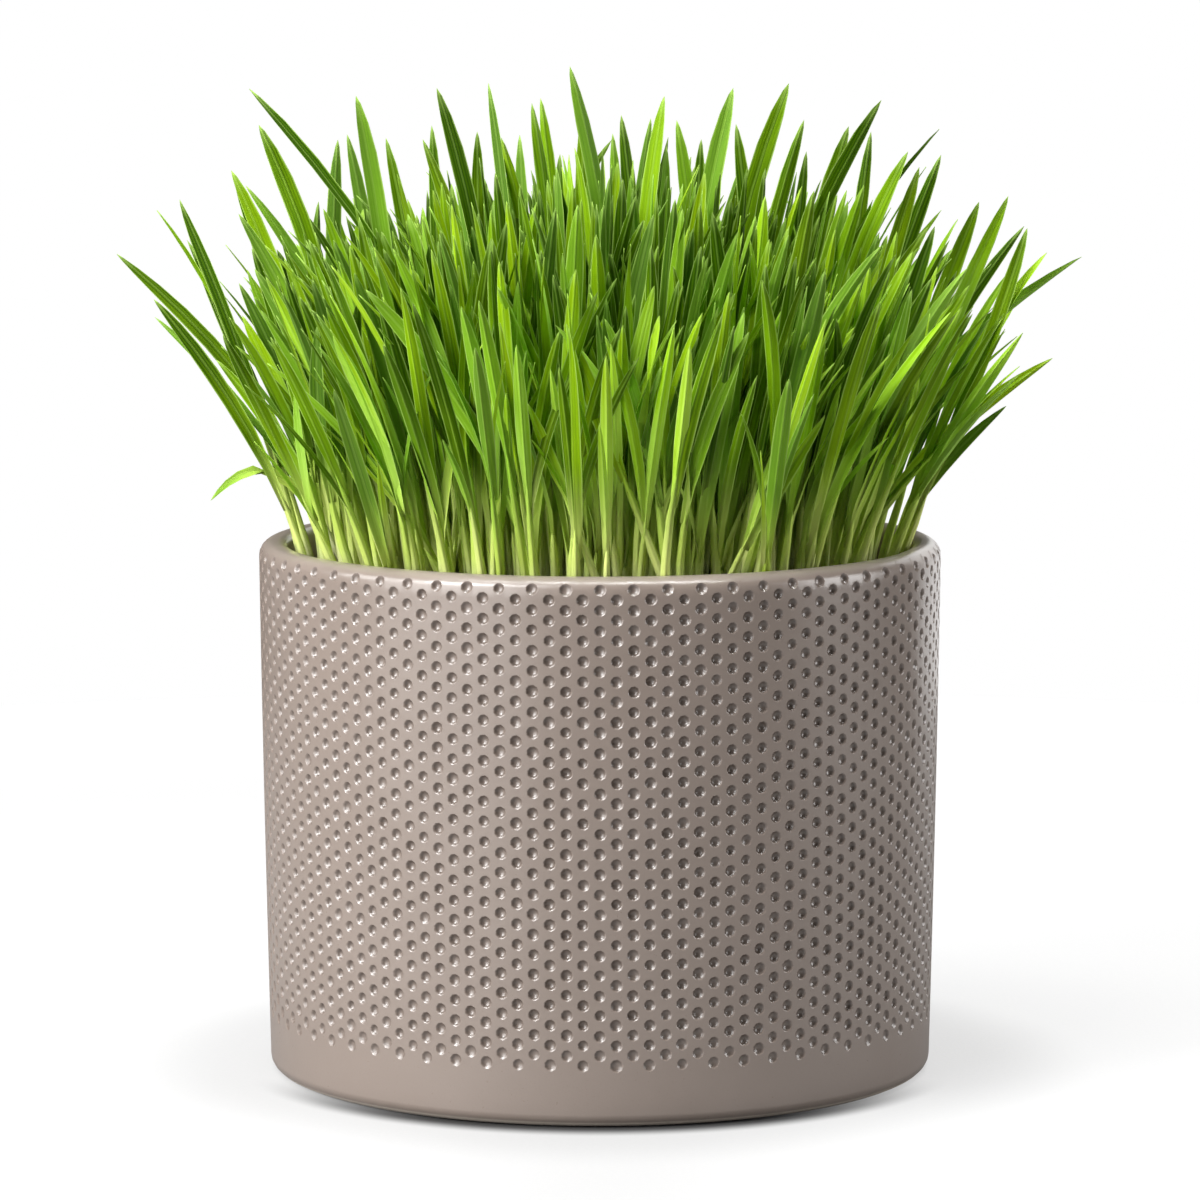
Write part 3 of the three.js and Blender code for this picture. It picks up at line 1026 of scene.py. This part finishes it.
def add_grass():
    """All the seedlings, shared out among the tufts whose middles they stand nearest to."""
    random = np.random.default_rng(41)
    set_foot, set_tip, set_bow, set_width = hand_set_leaves()
    common = common_leaves(set_foot, random)
    set_count = len(set_foot)
    foot = np.concatenate([set_foot, common[0]])
    tip = np.concatenate([set_tip, common[1]])
    bow = np.concatenate([set_bow, common[2]])
    half_width = np.concatenate([set_width * set_width_share, common[3]])
    number = len(foot)
    length = np.linalg.norm(tip - foot, axis=-1)
    stem_end = random.uniform(*stem_heights, number) / length
    arched = bow[:, 2] > 0
    stem_end[arched] = arched_stem_share
    radius = random.uniform(*stem_radii, number)

    outward = np.arctan2(foot[:, 1], foot[:, 0])
    facing = outward + math.pi / 2 + random.normal(0, facing_spread, number)
    flip = np.where(random.uniform(0, 1, set_count) < 0.5, 0, math.pi)
    facing[:set_count] = flip + random.uniform(-set_facing_spread, set_facing_spread, set_count)
    twist = random.normal(0, twist_spread, number)
    twist[:set_count] = random.uniform(-set_twist_spread, set_twist_spread, set_count)
    fold = random.uniform(*folds, number)
    nothing = np.zeros(number)
    everyone = np.arange(number)
    stems = stem_rings(foot, tip, bow, stem_end + stem_overlap, radius)
    blade_start = stem_end - blade_overlap
    blades = blade_rings(foot, tip, bow, facing, twist, half_width, fold, blade_start, nothing)
    sets = [(*stems, everyone), (*blades, everyone)]
    for low, high, share_of_all in side_leaf_kinds:
        chosen = np.flatnonzero((random.uniform(0, 1, number) < share_of_all) & ~arched)
        start = stem_end[chosen] * random.uniform(low, high, chosen.size)
        base, end, side_bow, width, heading = side_leaves(
            foot[chosen], tip[chosen], bow[chosen], start, half_width[chosen], random
        )
        side_blades = blade_rings(
            base,
            end,
            side_bow,
            heading + math.pi / 2 + random.normal(0, 0.5, chosen.size),
            random.normal(0, 0.6, chosen.size),
            width,
            fold[chosen],
            0 * start,
            start * length[chosen],
            stations=9,
        )
        sets.append((*side_blades, chosen))

    names, middles = tuft_places()
    gap = np.hypot(foot[:, None, 0] - middles[:, 0], foot[:, None, 1] - middles[:, 1])
    home = gap.argmin(axis=1)
    tones = [random.uniform(0, 1, (len(owner), 2)) for *_, owner in sets]
    tones[0] = tones[1]
    finish = grass_finish()
    for tuft, name in enumerate(names):
        points, marks, growth, faces, ridges = [], [], [], [], []
        first = 0
        for (rings, mark, along, owner), tone in zip(sets, tones):
            mine = np.flatnonzero(home[owner] == tuft)
            _, stations, sides, _ = rings.shape
            points.append(rings[mine].reshape(-1, 3))
            marks.append(mark[mine].reshape(-1, 3))
            rings_along = np.broadcast_to(along[:, None], (stations, sides))
            growth.append(together(*tone[mine].T[..., None, None], rings_along).reshape(-1, 3))
            tubes = tube_faces(mine.size, stations, sides)
            faces += [[first + corner for corner in face] for face in tubes]
            first += mine.size * stations * sides
            ring_number = np.arange(1, sides + 1) * (sides == 4)
            ridges.append(np.tile(ring_number, mine.size * stations))
        add_piece(
            f"grass_{name}",
            np.concatenate(points),
            faces,
            finish,
            [f"grass_tuft_{name}"],
            numbers={"mark": np.concatenate(marks), "growth": np.concatenate(growth)},
            ridges=np.concatenate(ridges),
        )
    add_grains(foot, random)


def grass_finish():
    """Cat grass: straw-pale at the foot, then fresh green, with fine veins, a light midrib and light edges.

    mark holds millimetres across from the midrib, millimetres grown from the foot, and the share across.
    growth holds a leaf's tone, its warmth, and the share along the blade, which is -1 on a stem. The leaves
    are darker towards the top of the stand and on its left, as painted shade. The light edges are partly a
    painted highlight.
    """
    nodes = new_material("fresh grass leaf")
    across, grown, edge = nodes.split(nodes.attribute("mark", "Vector"))
    tone, warmth, along = nodes.split(nodes.attribute("growth", "Vector"))
    stem = 1 - along.rise(-0.6, -0.3)
    streak_place = nodes.joined(across * 2.4, grown * 0.03, tone * 40.0)
    streak = nodes.noise(streak_place, 1.0, detail=3.0, roughness=0.6)
    patch = nodes.noise(nodes.joined(across * 0.2, grown * 0.05, warmth * 30.0), 1.0, detail=1.0)
    vein = (across * 8.5).wave()
    midrib = 1 - across.size().rise(0.10, 0.42)
    rim = edge.size().rise(0.80, 0.97)
    greyish = 1 - warmth.rise(0.12, 0.32)

    x, _, z = nodes.split(nodes.place())
    # painted shade: leaves darker towards the top of the stand and on its left
    painted_shade_top_left = z.rise(0.14, 0.225) * 0.33 + (0 - x).rise(0.03, 0.105) * 0.22
    deep = nodes.mix(warmth, (0.017, 0.068, 0.001, 1), (0.032, 0.086, 0.001, 1))
    fresh = nodes.mix(warmth, (0.340, 0.710, 0.012, 1), (0.570, 0.880, 0.008, 1))
    lightness = tone * 0.70 + streak * 0.55 + patch * 0.40 - 0.25 - painted_shade_top_left
    green = nodes.mix(lightness.rise(0.06, 0.94), deep, fresh)
    green = nodes.mix(vein * 0.16, green, (0.30, 0.56, 0.01, 1))
    green = nodes.mix(greyish * 0.4, green, (0.22, 0.42, 0.06, 1))
    green = nodes.mix(lightness.rise(0.60, 0.95) * 0.30, green, (0.62, 0.82, 0.28, 1))
    # light midrib, and light edges that are partly a painted highlight
    green = nodes.mix(midrib * 0.13 + rim * 0.60, green, (0.58, 0.84, 0.19, 1))
    green = nodes.mix(along.rise(0.93, 1.0) * 0.32, green, (0.56, 0.84, 0.20, 1))
    young = nodes.mix(warmth, (0.50, 0.67, 0.09, 1), (0.82, 0.90, 0.30, 1))
    straw = nodes.mix(streak, (0.62, 0.64, 0.28, 1), (0.90, 0.92, 0.58, 1))
    sheath = nodes.mix(grown.rise(6.0, 20.0), straw, young)
    colour = nodes.mix(grown.rise(15.0, 46.0), sheath, green)
    ribbing = vein * 0.12 + midrib * 0.5 + streak * 0.4 - across * across * 0.3
    relief = nodes.bump(ribbing, 0.0002, 0.7)
    leaf = nodes.coat(colour, 0.36 + streak * 0.16, relief, {"Specular IOR Level": 0.06})
    lit_through = nodes.add("ShaderNodeBsdfTranslucent", None, {"Color": (0.40, 0.66, 0.01, 1)})
    share = 0.17 - stem * 0.10 - midrib * 0.05
    return nodes.finish(nodes.add("ShaderNodeMixShader", None, {0: share, 1: leaf, 2: lit_through}))


def add_grains(foot, random):
    """The sown grains: one lies at each seedling's foot, half sunk, and thin roots run out from it."""
    number = len(foot)
    heading = random.uniform(0, TURN, number)
    places = foot + level_way(heading) * grain_offset + np.array([0, 0, 0.35])
    rings = pebbles(
        places,
        heading,
        random.uniform(-grain_slope, grain_slope, number),
        random.uniform(*grain_half_length, number),
        random.uniform(*grain_half_width, number),
        random.uniform(*grain_half_height, number),
    )
    _, stations, sides, _ = rings.shape
    angle = TURN * np.arange(sides) / sides
    tone = random.uniform(0, 1, number)
    mark = together(np.cos(angle), np.arange(stations)[:, None] / stations, tone[:, None, None])
    add_piece(
        "sown_grains",
        rings.reshape(-1, 3),
        tube_faces(number, stations, sides),
        husk_finish(),
        numbers={"mark": mark.reshape(-1, 3)},
    )

    start = np.repeat(places, roots_per_grain, axis=0)
    way = random.uniform(0, TURN, len(start))
    length = random.uniform(*root_length, len(start))
    end = start + level_way(way) * length[:, None]
    keep_within(end, soil_radius - 2)
    end[:, 2] = soil_top - 0.7
    bow = random.normal(0, 1.2, start.shape) * [1, 1, 0] + [0, 0, 0.25]
    stations, sides = 7, 4
    share = np.broadcast_to(np.linspace(0, 1, stations), (len(start), stations))
    middle = line_at(start[:, None], end[:, None], bow[:, None], share)
    along = way_at(start[:, None], end[:, None], bow[:, None], share)
    across = unit(np.cross(along, [0.0, 0.0, 1.0]))
    wide = np.broadcast_to(np.linspace(0.3, 0.12, stations), (len(start), stations))
    add_piece(
        "surface_roots",
        rings_round(middle, across, along, wide, wide, sides).reshape(-1, 3),
        tube_faces(len(start), stations, sides),
        root_finish(),
    )


def husk_finish():
    """Dry husks: straw brown, ribbed lengthwise, darker at the ends."""
    nodes = new_material("straw grain husk")
    across, along, tone = nodes.split(nodes.attribute("mark", "Vector"))
    rib = (across * 16.0).wave()
    ends = (along - 0.42).size().rise(0.25, 0.48)
    colour = nodes.mix(tone, (0.30, 0.19, 0.08, 1), (0.48, 0.34, 0.16, 1))
    colour = nodes.mix(rib * 0.35, colour, (0.62, 0.48, 0.26, 1))
    colour = nodes.mix(ends * 0.6, colour, (0.13, 0.075, 0.03, 1))
    return nodes.finish(nodes.coat(colour, 0.55 + rib * 0.1, nodes.bump(rib, 0.0002, 0.7)))


def root_finish():
    """Thin white roots, dusted with the potting mix."""
    nodes = new_material("white rootlets")
    dust = nodes.noise(nodes.place(), 1200.0, detail=3.0, roughness=0.7)
    colour = nodes.mix(dust.rise(0.45, 0.7), (0.66, 0.62, 0.50, 1), (0.28, 0.20, 0.12, 1))
    return nodes.finish(nodes.coat(colour, 0.5 + dust * 0.3, nodes.bump(dust, 0.0002, 0.5)))


add_camera()
light_room()
add_floor()
add_pot()
add_potting_mix()
add_grass()
bpy.context.scene.view_settings.view_transform = "Standard"
